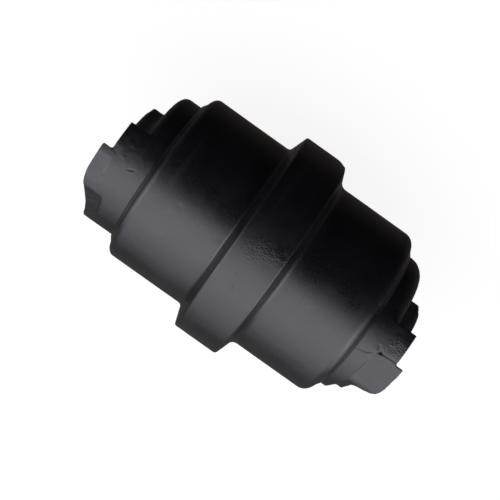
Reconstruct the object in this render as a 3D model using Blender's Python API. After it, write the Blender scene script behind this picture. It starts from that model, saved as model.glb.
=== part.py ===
"""Oil-filled track roller with one centre flange, for a small excavator.

The roller's axis is X, the origin is the middle of the roller on that axis, and +Z points out through the
locating lugs of the two end collars.  Angles about the axis start at +Z and grow towards -Y.
Left means -X, right means +X.  Lengths are in metres.
"""
import math

import bmesh
import bpy
from mathutils import Vector

MM = 0.001

# Clearances
SEAT_GAP = 0.3 * MM       # between pieces that rest on, or are fitted into, each other
JOURNAL_GAP = 0.1 * MM    # radial running clearance of the bushes on the shaft

# Roller shell
TREAD_R = 60.0 * MM
FLANGE_R = 73.0 * MM
FLANGE_CREST_HALF = 12.7 * MM       # to where the crest starts to round over
FLANGE_DRAFT = math.radians(15.0)
FLANGE_CORNER_R = 3.3 * MM
FLANGE_ROOT_R = 5.0 * MM
SHELL_HALF = 80.2 * MM
SHELL_CORNER_R = 7.0 * MM
SHELL_END_FALL = 2.2 * MM          # the end face leans outwards by this much towards the seam
COUNTERBORE_R = 50.5 * MM
COUNTERBORE_DEPTH = 5.3 * MM
RESERVOIR_R = 32.0 * MM
RESERVOIR_HALF = 23.0 * MM

# Shaft
SHAFT_R = 25.0 * MM
SHAFT_HALF = 107.3 * MM
SHAFT_CHAMFER = 1.5 * MM
BOLT_HOLE_R = 7.0 * MM             # tapped M16 in the real shaft
BOLT_HOLE_DEPTH = 34.3 * MM
DRILL_TIP = 3.5 * MM
GALLERY_R = 3.0 * MM
OIL_HOLE_R = 2.7 * MM
PLUG_BORE_R = 5.3 * MM
PLUG_BORE_DEPTH = 11.0 * MM

# Bushes
BUSH_R = 29.0 * MM
BUSH_INNER_END = 24.0 * MM
BUSH_FLANGE_R = 35.0 * MM
BUSH_FLANGE_THICK = 4.0 * MM
BUSH_SEAT = 60.0 * MM              # face in the shell that the bush flange bears on

# End collars
COLLAR_R = 49.4 * MM
NOSE_R = 29.5 * MM                 # inside the seal rings
COLLAR_INNER_FACE = 75.9 * MM
STEP_PLANE = 95.0 * MM             # flat that the collar is cut back to over most of its turn
HUB_END = 104.8 * MM
EAR_END = 106.4 * MM
LUG_END = 112.6 * MM
COLLAR_EDGE_BREAK = 0.8 * MM
LUG_HALF_ANGLE = 17.25
EAR_ANGLE = 23.0
TOE_ANGLE = 56.0
TOE_HIGH = 106.2 * MM              # end of the toe beside the lug, and at its other side
TOE_LOW = 101.3 * MM
COLLAR_CLOCK = 3.25                # degrees that each collar is turned away from straight up

# What differs between the two collars.
# The hub may carry a boss round the shaft's end.  The lug's end leans back by lug_fall towards its far side.
# Each flat is (degrees past the lug's middle, distance from the axis, station where it starts).
LEFT_COLLAR = {
    "hub_r": 31.8 * MM,
    "boss_r": 28.6 * MM,
    "lug_fall": 1.2 * MM,
    "has_toe": True,
    "flats": ((0.0, 48.2 * MM, 104.5 * MM), (34.5, 46.9 * MM, 95.6 * MM)),
}
RIGHT_COLLAR = {
    "hub_r": 27.2 * MM,
    "boss_r": 0.0,
    "lug_fall": 1.9 * MM,
    "has_toe": False,
    "flats": ((0.0, 47.9 * MM, 90.8 * MM), (46.5, 44.9 * MM, 89.5 * MM)),
}
FLAT_CUT_DEPTH = 10.0 * MM
FLAT_CUT_HALF_WIDTH = 25.0 * MM

# Face seals
SEAL_PLANE = 75.4 * MM             # where the two metal rings of a pair run on each other
SEAL_HOUSING_R = 41.0 * MM
SEAL_HOUSING_DEPTH = 10.6 * MM
SEAL_RING_INNER_R = 31.5 * MM
SEAL_RING_R = 40.0 * MM
SEAL_RING_LENGTH = 9.5 * MM
SEAL_FACE_THICK = 3.0 * MM
SEAL_TAIL_R = 34.0 * MM
SEAL_RAMP_R = 36.0 * MM
TORIC_R = 38.0 * MM
TORIC_SECTION_R = 2.6 * MM
TORIC_OFFSET = 6.6 * MM

# Small parts
O_RING_STATION = 90.0 * MM
O_RING_SECTION_R = 1.25 * MM
PIN_R = 4.0 * MM
PIN_STATION = 99.4 * MM
PIN_DROP = 22.5 * MM               # the pin crosses under the shaft's centre, half in shaft and half in hub
PIN_HALF = 15.0 * MM
PIN_CHAMFER = 0.8 * MM
PIN_HOLE_REACH = 35.0 * MM
PLUG_HEAD_R = 6.5 * MM
PLUG_HEAD_THICK = 4.0 * MM
PLUG_BODY_R = 5.0 * MM
PLUG_BODY_LENGTH = 10.0 * MM
PLUG_SOCKET_R = 2.9 * MM
PLUG_SOCKET_DEPTH = 2.5 * MM
WASHER_THICK = 1.0 * MM

# Facets round a full turn
OUTER_FACETS = 60
SHAFT_FACETS = 48
SEAL_FACETS = 32
PIN_FACETS = 16
SHARP_ANGLE = math.radians(30.0)


def clear_scene():
    """Empty the scene, so that the script gives the same result wherever it is run."""
    for item in list(bpy.data.objects):
        bpy.data.objects.remove(item, do_unlink=True)


def make_material(name, colour, roughness, metallic):
    material = bpy.data.materials.new(name)
    material.use_nodes = True
    shader = material.node_tree.nodes["Principled BSDF"]
    shader.inputs["Base Color"].default_value = (*colour, 1.0)
    shader.inputs["Roughness"].default_value = roughness
    shader.inputs["Metallic"].default_value = metallic
    material.diffuse_color = (*colour, 1.0)
    return material


def black_paint(name):
    return make_material(name, (0.012, 0.012, 0.014), 0.42, 0.0)


def turned_steel(name):
    return make_material(name, (0.48, 0.47, 0.45), 0.35, 1.0)


def seal_iron(name):
    return make_material(name, (0.32, 0.32, 0.33), 0.25, 1.0)


def bush_bronze(name):
    return make_material(name, (0.62, 0.40, 0.17), 0.35, 1.0)


def seal_rubber(name):
    return make_material(name, (0.02, 0.02, 0.02), 0.75, 0.0)


def add_object(name, bm, material, parent):
    """Turn a bmesh into a named object with outward faces, smooth shading and its own material."""
    bm.normal_update()
    bmesh.ops.recalc_face_normals(bm, faces=bm.faces)
    mesh = bpy.data.meshes.new(name)
    bm.to_mesh(mesh)
    bm.free()
    mesh.shade_smooth()
    mesh.set_sharp_from_angle(angle=SHARP_ANGLE)
    mesh.materials.append(material)
    item = bpy.data.objects.new(name, mesh)
    bpy.context.scene.collection.objects.link(item)
    item.parent = parent
    return item


def axis_empty(name):
    """A parent on the roller's axis."""
    empty = bpy.data.objects.new(name, None)
    empty.empty_display_size = TREAD_R
    bpy.context.scene.collection.objects.link(empty)
    return empty


def on_axis(station, radius, degrees):
    """The point at a station along the axis, a radius, and an angle from +Z towards -Y."""
    turn = math.radians(degrees)
    return Vector((station, -radius * math.sin(turn), radius * math.cos(turn)))


def arc(centre_x, centre_r, radius, start, end, pieces):
    """Profile points on a round corner; angles in degrees, 0 along the axis and 90 outwards."""
    points = []
    for step in range(pieces + 1):
        turn = math.radians(start + (end - start) * step / pieces)
        points.append((centre_x + radius * math.cos(turn), centre_r + radius * math.sin(turn)))
    return points


def mirrored(half_profile):
    """A closed profile from its right half, which runs from the middle outwards and back."""
    left_half = [(-x, r) for x, r in reversed(half_profile)]
    return half_profile + left_half


def revolve(profile, facets):
    """Turn a closed profile of (station, radius) points round the axis; a radius of zero is a point on it."""
    bm = bmesh.new()
    rings = []
    for station, radius in profile:
        if radius == 0.0:
            rings.append([bm.verts.new((station, 0.0, 0.0))] * facets)
            continue
        ring = []
        for step in range(facets):
            ring.append(bm.verts.new(on_axis(station, radius, 360.0 * step / facets)))
        rings.append(ring)
    for index, ring in enumerate(rings):
        following = rings[(index + 1) % len(rings)]
        for step in range(facets):
            after = (step + 1) % facets
            corners = []
            for vertex in (ring[step], ring[after], following[after], following[step]):
                if vertex not in corners:
                    corners.append(vertex)
            if len(corners) > 2:
                bm.faces.new(corners)
    return bm


def cylinder_between(name, start, end, radius, facets):
    """A round cutter from start to end, kept out of the build."""
    direction = end - start
    side = direction.orthogonal().normalized()
    across = direction.normalized().cross(side)
    bm = bmesh.new()
    rings = []
    for centre in (start, end):
        ring = []
        for step in range(facets):
            turn = math.tau * step / facets
            offset = side * math.cos(turn) + across * math.sin(turn)
            ring.append(bm.verts.new(centre + offset * radius))
        rings.append(ring)
        bm.faces.new(ring)
    for step in range(facets):
        after = (step + 1) % facets
        bm.faces.new((rings[0][step], rings[0][after], rings[1][after], rings[1][step]))
    return add_cutter(name, bm)


def add_cutter(name, bm):
    bm.normal_update()
    bmesh.ops.recalc_face_normals(bm, faces=bm.faces)
    mesh = bpy.data.meshes.new(name)
    bm.to_mesh(mesh)
    bm.free()
    cutter = bpy.data.objects.new(name, mesh)
    cutter.hide_render = True
    cutter.display_type = 'WIRE'
    bpy.context.scene.collection.objects.link(cutter)
    return cutter


def cut(item, cutter):
    modifier = item.modifiers.new(cutter.name, 'BOOLEAN')
    modifier.operation = 'DIFFERENCE'
    modifier.solver = 'EXACT'
    modifier.object = cutter


def shell_outline():
    """Right half of the shell's section, from the middle of the flange crest out, in and back to the middle."""
    flank_in = math.degrees(FLANGE_DRAFT)
    crest = arc(FLANGE_CREST_HALF, FLANGE_R - FLANGE_CORNER_R, FLANGE_CORNER_R, 90.0, flank_in, 2)
    last_x, last_r = crest[-1]
    root_r = TREAD_R + FLANGE_ROOT_R
    foot_r = root_r - FLANGE_ROOT_R * math.sin(FLANGE_DRAFT)
    foot_x = last_x + (last_r - foot_r) * math.tan(FLANGE_DRAFT)
    root_x = foot_x + FLANGE_ROOT_R * math.cos(FLANGE_DRAFT)
    root = arc(root_x, root_r, FLANGE_ROOT_R, 180.0 + flank_in, 270.0, 2)
    corner_x = SHELL_HALF - SHELL_END_FALL - SHELL_CORNER_R
    corner = arc(corner_x, TREAD_R - SHELL_CORNER_R, SHELL_CORNER_R, 90.0, 5.0, 3)
    housing_mouth = SHELL_HALF - COUNTERBORE_DEPTH
    housing_floor = BUSH_SEAT + BUSH_FLANGE_THICK
    inside = [
        (SHELL_HALF, COUNTERBORE_R),
        (housing_mouth, COUNTERBORE_R),
        (housing_mouth, SEAL_HOUSING_R),
        (housing_floor, SEAL_HOUSING_R),
        (housing_floor, BUSH_FLANGE_R + SEAT_GAP),
        (BUSH_SEAT, BUSH_FLANGE_R + SEAT_GAP),
        (BUSH_SEAT, BUSH_R + SEAT_GAP),
        (RESERVOIR_HALF, BUSH_R + SEAT_GAP),
        (RESERVOIR_HALF, RESERVOIR_R),
    ]
    return crest + root + corner + inside


def build_shell(parent):
    bm = revolve(mirrored(shell_outline()), OUTER_FACETS)
    return add_object("roller_shell", bm, black_paint("shell_paint"), parent)


def build_shaft(parent):
    """Straight shaft with an o-ring groove at each collar, a bolt hole in each end and an oil gallery."""
    groove_floor = SHAFT_R - 2.0 * O_RING_SECTION_R - SEAT_GAP
    groove_half = O_RING_SECTION_R + SEAT_GAP
    half = [
        (O_RING_STATION - groove_half, SHAFT_R),
        (O_RING_STATION - groove_half, groove_floor),
        (O_RING_STATION + groove_half, groove_floor),
        (O_RING_STATION + groove_half, SHAFT_R),
        (SHAFT_HALF - SHAFT_CHAMFER, SHAFT_R),
        (SHAFT_HALF, SHAFT_R - SHAFT_CHAMFER),
    ]
    bolt_floor = SHAFT_HALF - BOLT_HOLE_DEPTH
    right_bore = [
        (SHAFT_HALF, BOLT_HOLE_R),
        (bolt_floor, BOLT_HOLE_R),
        (bolt_floor - DRILL_TIP, 0.0),
    ]
    left_bore = [
        (GALLERY_R, 0.0),
        (GALLERY_R, GALLERY_R),
        (-bolt_floor + PLUG_BORE_DEPTH, GALLERY_R),
        (-bolt_floor + PLUG_BORE_DEPTH, PLUG_BORE_R),
        (-bolt_floor, PLUG_BORE_R),
        (-bolt_floor, BOLT_HOLE_R),
        (-SHAFT_HALF, BOLT_HOLE_R),
    ]
    outside = mirrored(half)
    turn_at = len(half)
    profile = outside[:turn_at] + right_bore + left_bore + outside[turn_at:]
    shaft = add_object("shaft", revolve(profile, SHAFT_FACETS), turned_steel("shaft_steel"), parent)
    reach = Vector((0.0, 0.0, SHAFT_R + SHAFT_CHAMFER))
    cut(shaft, cylinder_between("cut_oil_hole", -reach, reach, OIL_HOLE_R, PIN_FACETS))
    return shaft


def build_bush(side, sign, parent):
    """Flanged plain bush; the flange takes the side load against the collar's nose."""
    seat = BUSH_SEAT + SEAT_GAP
    inner_r = SHAFT_R + JOURNAL_GAP
    profile = [
        (BUSH_INNER_END, inner_r),
        (BUSH_INNER_END, BUSH_R),
        (seat, BUSH_R),
        (seat, BUSH_FLANGE_R),
        (seat + BUSH_FLANGE_THICK, BUSH_FLANGE_R),
        (seat + BUSH_FLANGE_THICK, inner_r),
    ]
    profile = [(sign * x, r) for x, r in profile]
    bronze = bush_bronze(f"bush_bronze_{side}")
    return add_object(f"bush_{side}", revolve(profile, SHAFT_FACETS), bronze, parent)


def split_turn(edges, widest):
    """Angles from the first edge through a full turn, that keep every edge and are evenly spread between."""
    angles = []
    closed = edges + [edges[0] + 360.0]
    for start, end in zip(closed, closed[1:]):
        pieces = max(1, math.ceil((end - start) / widest))
        for step in range(pieces):
            angles.append(start + (end - start) * step / pieces)
    return angles


def polar_solid(radii, angles, station_at, slabs, is_filled):
    """A solid of cells between radii, angles and stations; is_filled(band, angle, slab) says which hold metal.

    station_at(level, angle) gives the place along the axis of a level, and there is a slab between two levels.
    """
    bm = bmesh.new()
    points = {}

    def point(band, column, slab):
        column %= len(angles)
        key = (band, column, slab)
        if key not in points:
            angle = angles[column]
            points[key] = bm.verts.new(on_axis(station_at(slab, angle), radii[band], angle))
        return points[key]

    def filled(band, column, slab):
        inside = 0 <= band < len(radii) - 1 and 0 <= slab < slabs
        if not inside:
            return False
        column %= len(angles)
        following = angles[column + 1] if column + 1 < len(angles) else angles[0] + 360.0
        return is_filled(band, 0.5 * (angles[column] + following), slab)

    def face(corners):
        bm.faces.new([point(*corner) for corner in corners])

    for band in range(len(radii) - 1):
        for column in range(len(angles)):
            for slab in range(slabs):
                if not filled(band, column, slab):
                    continue
                for step in (0, 1):
                    move = 2 * step - 1
                    at = (band + step, column + step, slab + step)
                    if not filled(band + move, column, slab):
                        face(((at[0], column, slab), (at[0], column + 1, slab),
                              (at[0], column + 1, slab + 1), (at[0], column, slab + 1)))
                    if not filled(band, column + move, slab):
                        face(((band, at[1], slab), (band + 1, at[1], slab),
                              (band + 1, at[1], slab + 1), (band, at[1], slab + 1)))
                    if not filled(band, column, slab + move):
                        face(((band, column, at[2]), (band + 1, column, at[2]),
                              (band + 1, column + 1, at[2]), (band, column + 1, at[2])))
    return bm


def cut_flat(collar, side, sign, clock, flat):
    """Grind a flat on the outside of a collar, from a station outwards."""
    past_lug, distance, start = flat
    middle = clock + past_lug
    beyond = LUG_END + FLAT_CUT_DEPTH
    bm = bmesh.new()
    bmesh.ops.create_cube(bm, size=1.0)
    for vertex in bm.verts:
        station = start if vertex.co.x < 0.0 else beyond
        outward = on_axis(0.0, distance + (FLAT_CUT_DEPTH if vertex.co.z > 0.0 else 0.0), middle)
        across = on_axis(0.0, math.copysign(FLAT_CUT_HALF_WIDTH, vertex.co.y), middle + 90.0)
        vertex.co = outward + across + Vector((sign * station, 0.0, 0.0))
    cut(collar, add_cutter(f"cut_flat_{side}_{round(past_lug)}", bm))


def cut_toe_slope(collar, side, sign, lug_last, toe_last, inner_r):
    """Slope the end of the toe down, away from the lug."""
    bm = bmesh.new()
    bmesh.ops.create_cube(bm, size=1.0)
    margin = 2.0
    for vertex in bm.verts:
        beside_lug = vertex.co.y < 0.0
        angle = lug_last if beside_lug else toe_last + margin
        end = TOE_HIGH if beside_lug else TOE_LOW
        station = end if vertex.co.x < 0.0 else EAR_END + COLLAR_EDGE_BREAK
        radius = inner_r if vertex.co.z < 0.0 else COLLAR_R + FLAT_CUT_DEPTH
        if beside_lug:
            angle += margin if vertex.co.z < 0.0 else margin * 0.5
        vertex.co = on_axis(sign * station, radius, angle)
    cut(collar, add_cutter(f"cut_toe_{side}", bm))


def build_collar(side, sign, design, parent):
    """End collar: nose and hub on the shaft, seal housing inside, ear and locating lug outside."""
    clock = sign * COLLAR_CLOCK
    ear_start = clock - LUG_HALF_ANGLE - EAR_ANGLE
    lug_start = clock - LUG_HALF_ANGLE
    lug_end = clock + LUG_HALF_ANGLE
    toe_end = lug_end + TOE_ANGLE
    last_raised = toe_end if design["has_toe"] else lug_end
    nose_face = BUSH_SEAT + BUSH_FLANGE_THICK + 2.0 * SEAT_GAP
    housing_floor = SEAL_PLANE + SEAL_HOUSING_DEPTH
    hub_r = design["hub_r"]
    boss_r = design["boss_r"]
    radii = sorted({SHAFT_R + SEAT_GAP, NOSE_R, hub_r, SEAL_HOUSING_R, COLLAR_R, boss_r} - {0.0})
    levels = [nose_face, COLLAR_INNER_FACE, housing_floor, STEP_PLANE, HUB_END, EAR_END, LUG_END]
    nose, housing, web, hub, ear, lug = range(6)

    def station_at(level, angle):
        fall = 0.0
        if level == len(levels) - 1:
            fall = design["lug_fall"] * (angle - lug_start) / (lug_end - lug_start)
        return sign * (levels[level] - fall)

    def is_filled(band, angle, slab):
        outer_r = radii[band + 1]
        rim = outer_r == COLLAR_R
        raised = outer_r > hub_r and ear_start < angle < last_raised
        return {
            nose: outer_r <= NOSE_R,
            housing: outer_r <= NOSE_R or rim,
            web: True,
            hub: outer_r <= hub_r or raised,
            ear: outer_r <= boss_r or raised,
            lug: rim and lug_start < angle < lug_end,
        }[slab]

    angles = split_turn([ear_start, lug_start, lug_end, toe_end], 360.0 / OUTER_FACETS)
    bm = polar_solid(radii, angles, station_at, len(levels) - 1, is_filled)
    bmesh.ops.dissolve_limit(bm, angle_limit=math.radians(0.5), verts=bm.verts, edges=bm.edges)
    collar = add_object(f"collar_{side}", bm, black_paint(f"collar_paint_{side}"), parent)
    edges = collar.modifiers.new("edge_break", 'BEVEL')
    edges.width = COLLAR_EDGE_BREAK
    edges.segments = 1
    edges.limit_method = 'ANGLE'
    edges.angle_limit = math.radians(60.0)
    for flat in design["flats"]:
        cut_flat(collar, side, sign, clock, flat)
    if design["has_toe"]:
        cut_toe_slope(collar, side, sign, lug_end, toe_end, 0.5 * (boss_r + hub_r))
    reach = Vector((0.0, PIN_HOLE_REACH, 0.0))
    centre = Vector((sign * PIN_STATION, 0.0, -PIN_DROP))
    hole_r = PIN_R + SEAT_GAP
    hole = cylinder_between(f"cut_pin_hole_{side}", centre - reach, centre + reach, hole_r, PIN_FACETS)
    cut(collar, hole)
    return hole


def build_seal_ring(kind, side, sign, outward, parent):
    """Metal face-seal ring; outward is +1 for the ring in the collar and -1 for the ring in the shell."""
    face = SEAL_PLANE + outward * SEAT_GAP * 0.5
    tail = SEAL_PLANE + outward * SEAL_RING_LENGTH
    ramp = SEAL_PLANE + outward * SEAL_FACE_THICK
    profile = [
        (face, SEAL_RING_INNER_R),
        (face, SEAL_RING_R),
        (ramp, SEAL_RING_R),
        (ramp, SEAL_RAMP_R),
        (tail, SEAL_TAIL_R),
        (tail, SEAL_RING_INNER_R),
    ]
    profile = [(sign * x, r) for x, r in profile]
    name = f"seal_ring_{kind}_{side}"
    return add_object(name, revolve(profile, SEAL_FACETS), seal_iron(f"{name}_iron"), parent)


def build_ring(name, station, radius, section_r, section_points, material, parent):
    """Rubber ring of round section."""
    profile = arc(station, radius, section_r, 0.0, 360.0, section_points)[:-1]
    return add_object(name, revolve(profile, SEAL_FACETS), material, parent)


def build_pin(side, sign, parent):
    """Straight dowel across the hub, with a small chamfer at each end."""
    profile = [
        (-PIN_HALF, 0.0),
        (-PIN_HALF, PIN_R - PIN_CHAMFER),
        (-PIN_HALF + PIN_CHAMFER, PIN_R),
        (PIN_HALF - PIN_CHAMFER, PIN_R),
        (PIN_HALF, PIN_R - PIN_CHAMFER),
        (PIN_HALF, 0.0),
    ]
    steel = turned_steel(f"pin_steel_{side}")
    pin = add_object(f"collar_pin_{side}", revolve(profile, PIN_FACETS), steel, parent)
    pin.location = (sign * PIN_STATION, 0.0, -PIN_DROP)
    pin.rotation_euler = (0.0, 0.0, math.pi / 2.0)
    return pin


def build_plug(parent):
    """Socket plug at the bottom of the left bolt hole, and the washer under its head."""
    seat = -(SHAFT_HALF - BOLT_HOLE_DEPTH)
    washer_inner = seat - SEAT_GAP
    washer_outer = washer_inner - WASHER_THICK
    washer = [
        (washer_inner, PLUG_BORE_R),
        (washer_inner, PLUG_HEAD_R),
        (washer_outer, PLUG_HEAD_R),
        (washer_outer, PLUG_BORE_R),
    ]
    washer_steel = turned_steel("washer_steel")
    add_object("oil_plug_washer", revolve(washer, PIN_FACETS * 2), washer_steel, parent)
    under_head = washer_outer - SEAT_GAP
    top = under_head - PLUG_HEAD_THICK
    profile = [
        (under_head + PLUG_BODY_LENGTH, 0.0),
        (under_head + PLUG_BODY_LENGTH, PLUG_BODY_R - SEAT_GAP),
        (under_head, PLUG_BODY_R - SEAT_GAP),
        (under_head, PLUG_HEAD_R),
        (top, PLUG_HEAD_R),
        (top, 0.0),
    ]
    plug = add_object("oil_plug", revolve(profile, PIN_FACETS), turned_steel("plug_steel"), parent)
    mouth = Vector((top - MM, 0.0, 0.0))
    floor = Vector((top + PLUG_SOCKET_DEPTH, 0.0, 0.0))
    cut(plug, cylinder_between("cut_plug_socket", mouth, floor, PLUG_SOCKET_R, 6))


def build_side(side, sign, collar_design, shaft, fixed, turning):
    """Everything at one end of the roller."""
    build_bush(side, sign, turning)
    pin_hole = build_collar(side, sign, collar_design, fixed)
    cut(shaft, pin_hole)
    for kind, outward, parent in (("turning", -1.0, turning), ("fixed", 1.0, fixed)):
        build_seal_ring(kind, side, sign, outward, parent)
        station = sign * (SEAL_PLANE + outward * TORIC_OFFSET)
        rubber = seal_rubber(f"toric_{kind}_{side}_rubber")
        build_ring(f"toric_{kind}_{side}", station, TORIC_R, TORIC_SECTION_R, 6, rubber, parent)
    o_ring_r = SHAFT_R - O_RING_SECTION_R
    rubber = seal_rubber(f"o_ring_{side}_rubber")
    build_ring(f"shaft_o_ring_{side}", sign * O_RING_STATION, o_ring_r, O_RING_SECTION_R, 6, rubber, fixed)
    build_pin(side, sign, fixed)


def main():
    clear_scene()
    fixed = axis_empty("fixed_side")
    turning = axis_empty("turning_side")
    build_shell(turning)
    shaft = build_shaft(fixed)
    build_side("left", -1.0, LEFT_COLLAR, shaft, fixed, turning)
    build_side("right", 1.0, RIGHT_COLLAR, shaft, fixed, turning)
    build_plug(fixed)


main()
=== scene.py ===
"""Looks of the oil-filled track roller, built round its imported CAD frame.

The roller's axis is X and the origin is its middle. Angles about the axis are in degrees, from +Z towards -Y.
Lengths are in millimetres until a vertex is made. Left means -X and right means +X.
"""

import math

import bmesh
import bpy
from mathutils import Matrix, Vector, noise


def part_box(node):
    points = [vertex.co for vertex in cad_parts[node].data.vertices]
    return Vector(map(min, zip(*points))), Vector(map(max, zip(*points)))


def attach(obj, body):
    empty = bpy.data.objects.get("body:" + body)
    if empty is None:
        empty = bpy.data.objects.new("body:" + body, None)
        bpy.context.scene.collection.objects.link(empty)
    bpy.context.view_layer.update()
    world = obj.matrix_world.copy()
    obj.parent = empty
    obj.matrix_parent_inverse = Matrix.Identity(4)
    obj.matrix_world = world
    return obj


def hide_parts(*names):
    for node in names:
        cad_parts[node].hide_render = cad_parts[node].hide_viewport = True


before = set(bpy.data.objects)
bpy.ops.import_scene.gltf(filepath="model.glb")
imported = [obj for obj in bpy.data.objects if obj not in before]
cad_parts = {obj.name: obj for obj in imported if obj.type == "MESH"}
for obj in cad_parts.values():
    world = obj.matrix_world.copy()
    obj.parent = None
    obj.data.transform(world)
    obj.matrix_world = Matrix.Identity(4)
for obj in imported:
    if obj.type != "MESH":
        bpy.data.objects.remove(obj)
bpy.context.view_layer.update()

MM = 0.001
SIDES = (("left", -1.0), ("right", 1.0))
AXIS = Vector((1.0, 0.0, 0.0))


# ---------------------------------------------------------------- sizes, from the frame where it holds them

def frame_mm(node, corner, axis):
    """One side of a CAD node's box, in millimetres."""
    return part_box(node)[corner][axis] / MM


SHELL_HALF = frame_mm("roller_shell", 1, 0)
FLANGE_R = frame_mm("roller_shell", 1, 2)
SHAFT_HALF = frame_mm("shaft", 1, 0)
SHAFT_R = frame_mm("shaft", 1, 2)
NOSE_FACE = frame_mm("collar_right", 0, 0)
COLLAR_R = -frame_mm("collar_right", 0, 2)
BUSH_INNER_END = frame_mm("bush_right", 0, 0)
BUSH_OUTER_END = frame_mm("bush_right", 1, 0)
BUSH_FLANGE_R = frame_mm("bush_right", 1, 2)
TREAD_R = 60.0
FLANGE_DRAFT = 19.0             # degrees that the flange's flanks lean
CREST_CORNER_R = 1.9
TREAD_END_R = 7.0
TREAD_END_FALL = 2.2            # from the rounded end of the tread to the end of the shell
MOUTH_R = 0.6                   # round edge where the counterbore opens
COUNTERBORE_R = 50.5
COUNTERBORE_DEPTH = 5.3
SEAL_HOUSING_R = 41.0
HOUSING_FLOOR = 64.0
BUSH_SEAT = 60.0
BUSH_R = 29.0
RESERVOIR_R = 32.0
RESERVOIR_HALF = 23.0
SEAT_GAP = 0.3
JOURNAL_GAP = 0.1

NOSE_R = 29.5
COLLAR_INNER_FACE = 75.9
COLLAR_HOUSING_FLOOR = 86.0
STEP_PLANE = 95.0
HUB_END = 104.8
EAR_END = 106.4
LUG_INNER_R = SEAL_HOUSING_R
LUG_HALF_ANGLE = 17.25
EAR_ANGLE = 23.0
TOE_ANGLE = 56.0
COLLAR_CLOCK = 3.25             # degrees from +Z to a lug's middle, towards -Y on the right, +Y on the left

BOLT_HOLE_R = 7.0
BOLT_HOLE_DEPTH = 34.3
DRILL_TIP = 3.5
THREAD_PITCH = 2.0
THREAD_DEPTH = 1.1
THREAD_LENGTH = 26.0
GALLERY_R = 3.0
GALLERY_END = 3.0
PLUG_SEAT_R = 5.3
PLUG_SEAT_LENGTH = 11.0
OIL_HOLE_R = 2.7

PIN_R = 4.0
PIN_STATION = 99.4
PIN_DROP = 22.5
PIN_HALF = 15.0
PIN_END_R = 0.9
PIN_HOLE_REACH = 36.0
PIN_GROOVE_REACH = 35.0
O_RING_STATION = 90.0
O_RING_SECTION_R = 1.25
SEAL_PLANE = 75.4
SEAL_BORE_R = 31.5
SEAL_FACE_R = 40.0
TORIC_R = 38.0
TORIC_SECTION_R = 2.6
TORIC_FROM_SEAL_PLANE = 6.6
PLUG_SHANK_R = 4.7
PLUG_HEAD_R = 6.5
PLUG_HEAD_HEIGHT = 4.0
SOCKET_R = 2.9


# ---------------------------------------------------------------- mesh tools

DEGREES_PER_COLUMN = 2.0        # of a cutter that goes round the axis
MARK_REACH = 3.0                # half sizes from a mark's middle beyond which it is left out


def on_axis(x, radius, degrees):
    """A point in metres from its station, radius and angle."""
    turn = math.radians(degrees)
    return Vector((x, -radius * math.sin(turn), radius * math.cos(turn))) * MM


def arc(centre_x, centre_r, radius, start, end, pieces):
    """Outline points on a round corner; 0 degrees is along the axis and 90 outwards."""
    points = []
    for step in range(pieces + 1):
        turn = math.radians(start + (end - start) * step / pieces)
        points.append((centre_x + radius * math.cos(turn), centre_r + radius * math.sin(turn)))
    return points


def mirrored_end(sign, points):
    """The same outline at the end of the roller that the sign gives."""
    return [(sign * x, r) for x, r in points]


def spread(points, longest):
    """Add points along the straight stretches of an outline, so that none is longer than asked."""
    result = []
    for (x0, r0), (x1, r1) in zip(points, points[1:]):
        pieces = max(1, math.ceil(math.hypot(x1 - x0, r1 - r0) / longest))
        for step in range(pieces):
            share = step / pieces
            result.append((x0 + (x1 - x0) * share, r0 + (r1 - r0) * share))
    result.append(points[-1])
    return result


def link_mesh(name, bm, sharp=40.0):
    """A smooth-shaded object from a bmesh, with its faces outwards."""
    bm.normal_update()
    bmesh.ops.recalc_face_normals(bm, faces=bm.faces)
    mesh = bpy.data.meshes.new(name)
    bm.to_mesh(mesh)
    bm.free()
    mesh.shade_smooth()
    mesh.set_sharp_from_angle(angle=math.radians(sharp))
    item = bpy.data.objects.new(name, mesh)
    bpy.context.scene.collection.objects.link(item)
    return item


def turned(name, outline, segments, shape=None, sharp=40.0):
    """Turn a closed outline round the axis; shape(x, radius, degrees) may change a point's radius."""
    bm = bmesh.new()
    rings = []
    for x, radius in outline:
        if radius == 0.0:
            rings.append([bm.verts.new((x * MM, 0.0, 0.0))] * segments)
            continue
        ring = []
        for step in range(segments):
            degrees = 360.0 * step / segments
            here = shape(x, radius, degrees) if shape else radius
            ring.append(bm.verts.new(on_axis(x, here, degrees)))
        rings.append(ring)
    for index, ring in enumerate(rings):
        following = rings[(index + 1) % len(rings)]
        for step in range(segments):
            after = (step + 1) % segments
            corners = []
            for vertex in (ring[step], ring[after], following[after], following[step]):
                if vertex not in corners:
                    corners.append(vertex)
            if len(corners) > 2:
                bm.faces.new(corners)
    return link_mesh(name, bm, sharp)


def sector(name, section_at, stops):
    """A cutter: part of a turn through the given degrees, with flat ends and a section that may change."""
    columns = [stops[0]]
    for start, end in zip(stops, stops[1:]):
        pieces = max(1, math.ceil((end - start) / DEGREES_PER_COLUMN))
        columns += [start + (end - start) * step / pieces for step in range(1, pieces + 1)]
    bm = bmesh.new()
    rings = []
    for degrees in columns:
        rings.append([bm.verts.new(on_axis(x, radius, degrees)) for x, radius in section_at(degrees)])
    for ring, following in zip(rings, rings[1:]):
        for index in range(len(ring)):
            after = (index + 1) % len(ring)
            bm.faces.new((ring[index], ring[after], following[after], following[index]))
    bm.faces.new(rings[0])
    bm.faces.new(rings[-1])
    return link_mesh(name, bm)


def cylinder(name, start, end, radius, segments=48):
    """A round cutter between two points in millimetres."""
    start, end = Vector(start) * MM, Vector(end) * MM
    length = (end - start).length
    bm = bmesh.new()
    bmesh.ops.create_cone(bm, cap_ends=True, segments=segments, radius1=radius * MM, radius2=radius * MM,
                          depth=length)
    turn = (end - start).to_track_quat('Z', 'Y').to_matrix().to_4x4()
    bm.transform(Matrix.Translation((start + end) * 0.5) @ turn)
    return link_mesh(name, bm)


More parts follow.
